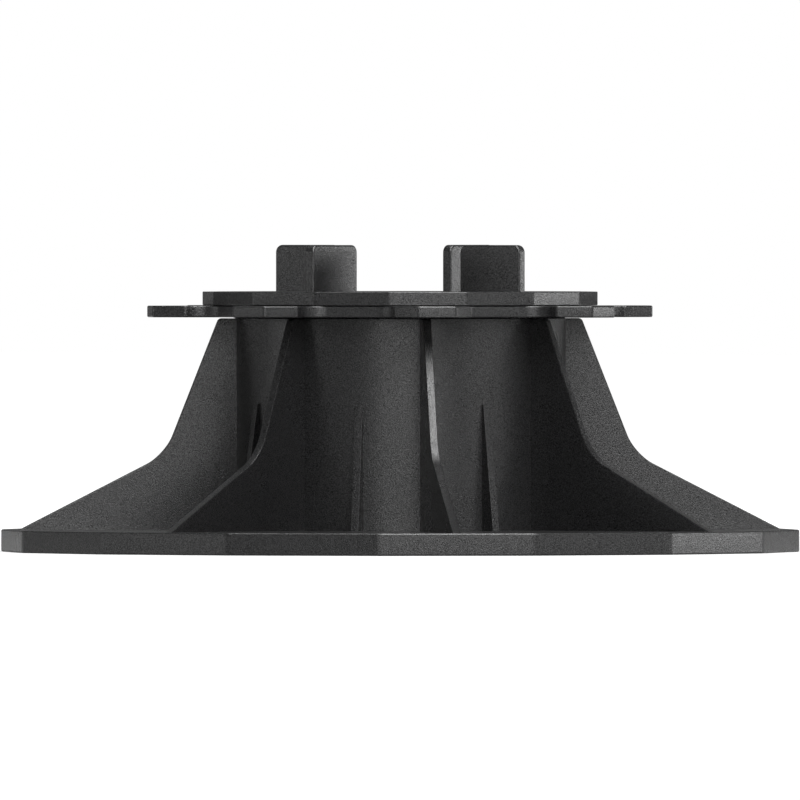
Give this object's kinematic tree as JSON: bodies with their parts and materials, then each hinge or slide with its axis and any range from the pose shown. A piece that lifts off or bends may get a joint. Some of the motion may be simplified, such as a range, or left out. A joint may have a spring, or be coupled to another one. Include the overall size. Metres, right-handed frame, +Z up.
{
  "type": "adjustable decking pedestal",
  "caption": "Low screw pedestal that holds paving slabs or deck boards level above a roof, with a gusseted foot, a lobed adjusting ring and slab spacers.",
  "frame": {"origin": "on the ground, under the middle of the foot plate", "axes": "+Z up through the sleeve, the ring and the head; +X and +Y along two gussets, which are also the lines of the spacer tabs"},
  "size_m": [0.1962, 0.1962, 0.0767],
  "materials": {
    "black_polypropylene": "moulded, with a fine spark-eroded grain"
  },
  "bodies": {
    "base": {"base": "black_polypropylene"},
    "ring": {"adjusting_ring": "black_polypropylene"},
    "head": {"head": "black_polypropylene", "stem": "black_polypropylene", "spacer_tab_1": "black_polypropylene", "spacer_tab_2": "black_polypropylene", "spacer_tab_3": "black_polypropylene", "spacer_tab_4": "black_polypropylene"}
  },
  "joints": [
    {"name": "ring_turn", "type": "hinge", "parent": "base", "child": "ring", "pos_m": [0, 0, 0.0587], "axis": [0, 0, -1], "range_deg": [0, 1800]},
    {"name": "head_rise", "type": "slide", "parent": "base", "child": "head", "axis": [0, 0, 1], "range_m": [0, 0.035]}
  ],
  "couplings": [
    {"joint": "head_rise", "follows": "ring_turn", "m_per_rad": 0.0011141}
  ]
}
